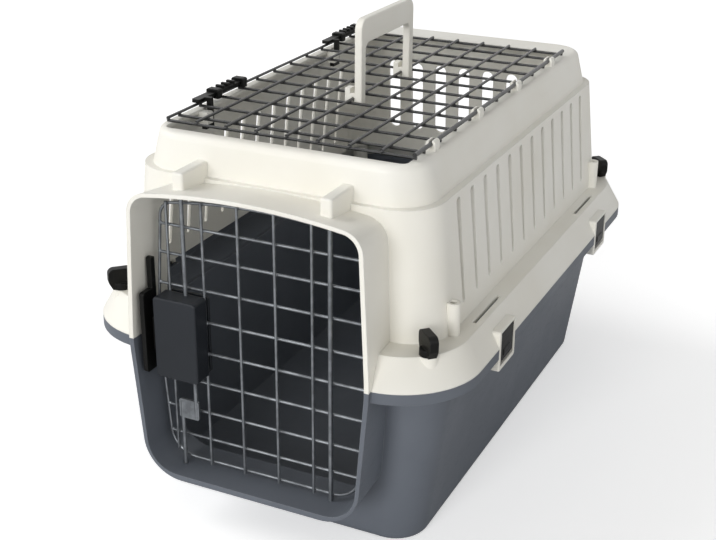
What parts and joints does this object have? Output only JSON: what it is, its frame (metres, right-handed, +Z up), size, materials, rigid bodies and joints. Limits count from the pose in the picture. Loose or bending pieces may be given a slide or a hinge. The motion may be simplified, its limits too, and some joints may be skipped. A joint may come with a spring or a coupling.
{
  "type": "pet carrier",
  "caption": "Two-door pet carrier: slotted cream shell on a grey tub, wire front door with squeeze latch, wire top door with slide latches and folding handle.",
  "frame": {"origin": "on the ground under the middle of the carrier", "axes": "+Z up, the front door faces -Y, +X towards the hinge side of both doors"},
  "size_m": [0.3104, 0.4895, 0.363],
  "materials": {
    "shell_cream": "fine satin moulding",
    "shell_grey": "fine satin moulding",
    "door_wire": "zinc plated, dull",
    "top_wire": "black dip coating",
    "latch_grey": "satin moulding",
    "latch_black": "satin moulding",
    "bolt_steel": "zinc plated",
    "handle_cream": "fine satin moulding"
  },
  "bodies": {
    "carrier": {"lower_shell": "shell_grey", "upper_shell": "shell_cream", "clip_pins": "bolt_steel", "corner_bolts": "bolt_steel"},
    "front_door": {"front_door_frame": "door_wire", "front_door_grille": "door_wire", "front_door_hinge_rod": "door_wire", "latch_housing": "latch_grey", "latch_back_plate": "latch_grey", "latch_screws": "bolt_steel", "latch_spring": "bolt_steel"},
    "paddle": {"latch_paddle": "latch_black"},
    "upper_bolt": {"latch_upper_bolt": "bolt_steel"},
    "lower_bolt": {"latch_lower_bolt": "bolt_steel"},
    "top_door": {"top_door_grille": "top_wire", "top_door_hinge_rod": "top_wire", "top_latch_guide_front": "latch_black", "top_latch_guide_rear": "latch_black"},
    "carry_handle": {"handle": "handle_cream"},
    "top_slide_front": {"top_latch_slide_front": "latch_black"},
    "top_slide_rear": {"top_latch_slide_rear": "latch_black"},
    "clip_front_left": {"side_clip_front_left": "latch_black"},
    "knob_front_left": {"corner_knob_front_left": "latch_black"},
    "clip_front_right": {"side_clip_front_right": "latch_black"},
    "knob_front_right": {"corner_knob_front_right": "latch_black"},
    "clip_back_left": {"side_clip_back_left": "latch_black"},
    "knob_back_left": {"corner_knob_back_left": "latch_black"},
    "clip_back_right": {"side_clip_back_right": "latch_black"},
    "knob_back_right": {"corner_knob_back_right": "latch_black"}
  },
  "joints": [
    {"name": "front_door_hinge", "type": "hinge", "parent": "carrier", "child": "front_door", "pos_m": [0.0585, -0.2258, 0.15], "axis": [0, 0, 1], "range_deg": [0, 120]},
    {"name": "latch_paddle_slide", "type": "slide", "parent": "front_door", "child": "paddle", "axis": [1, 0, 0], "range_m": [0, 0.0055], "stiffness_N_per_m": 300, "springref_m": -0.004, "deforming": ["latch_spring"]},
    {"name": "upper_bolt_slide", "type": "slide", "parent": "front_door", "child": "upper_bolt", "axis": [0, 0, -1], "range_m": [0, 0.009]},
    {"name": "lower_bolt_slide", "type": "slide", "parent": "front_door", "child": "lower_bolt", "axis": [0, 0, 1], "range_m": [0, 0.009]},
    {"name": "top_door_hinge", "type": "hinge", "parent": "carrier", "child": "top_door", "pos_m": [0.0998, 0, 0.3016], "axis": [0, 1, 0], "range_deg": [0, 180]},
    {"name": "handle_fold", "type": "hinge", "parent": "top_door", "child": "carry_handle", "pos_m": [0, -0.02, 0.3011], "axis": [0, 1, 0], "range_deg": [-90, 60]},
    {"name": "top_latch_front_slide", "type": "slide", "parent": "top_door", "child": "top_slide_front", "axis": [0, 1, 0], "range_m": [0, 0.008]},
    {"name": "top_latch_rear_slide", "type": "slide", "parent": "top_door", "child": "top_slide_rear", "axis": [0, 1, 0], "range_m": [0, 0.008]},
    {"name": "clip_hinge_front_left", "type": "hinge", "parent": "carrier", "child": "clip_front_left", "pos_m": [-0.152, -0.125, 0.1575], "axis": [0, 1, 0], "range_deg": [0, 90]},
    {"name": "knob_turn_front_left", "type": "hinge", "parent": "carrier", "child": "knob_front_left", "pos_m": [-0.127, -0.212, 0.1816], "axis": [0, 0, 1], "continuous": true},
    {"name": "clip_hinge_front_right", "type": "hinge", "parent": "carrier", "child": "clip_front_right", "pos_m": [0.152, -0.125, 0.1575], "axis": [0, -1, 0], "range_deg": [0, 90]},
    {"name": "knob_turn_front_right", "type": "hinge", "parent": "carrier", "child": "knob_front_right", "pos_m": [0.127, -0.212, 0.1816], "axis": [0, 0, 1], "continuous": true},
    {"name": "clip_hinge_back_left", "type": "hinge", "parent": "carrier", "child": "clip_back_left", "pos_m": [-0.152, 0.125, 0.1575], "axis": [0, 1, 0], "range_deg": [0, 90]},
    {"name": "knob_turn_back_left", "type": "hinge", "parent": "carrier", "child": "knob_back_left", "pos_m": [-0.127, 0.212, 0.1816], "axis": [0, 0, 1], "continuous": true},
    {"name": "clip_hinge_back_right", "type": "hinge", "parent": "carrier", "child": "clip_back_right", "pos_m": [0.152, 0.125, 0.1575], "axis": [0, -1, 0], "range_deg": [0, 90]},
    {"name": "knob_turn_back_right", "type": "hinge", "parent": "carrier", "child": "knob_back_right", "pos_m": [0.127, 0.212, 0.1816], "axis": [0, 0, 1], "continuous": true}
  ],
  "couplings": [
    {"joint": "upper_bolt_slide", "follows": "latch_paddle_slide", "ratio": 1.636},
    {"joint": "lower_bolt_slide", "follows": "latch_paddle_slide", "ratio": 1.636}
  ]
}
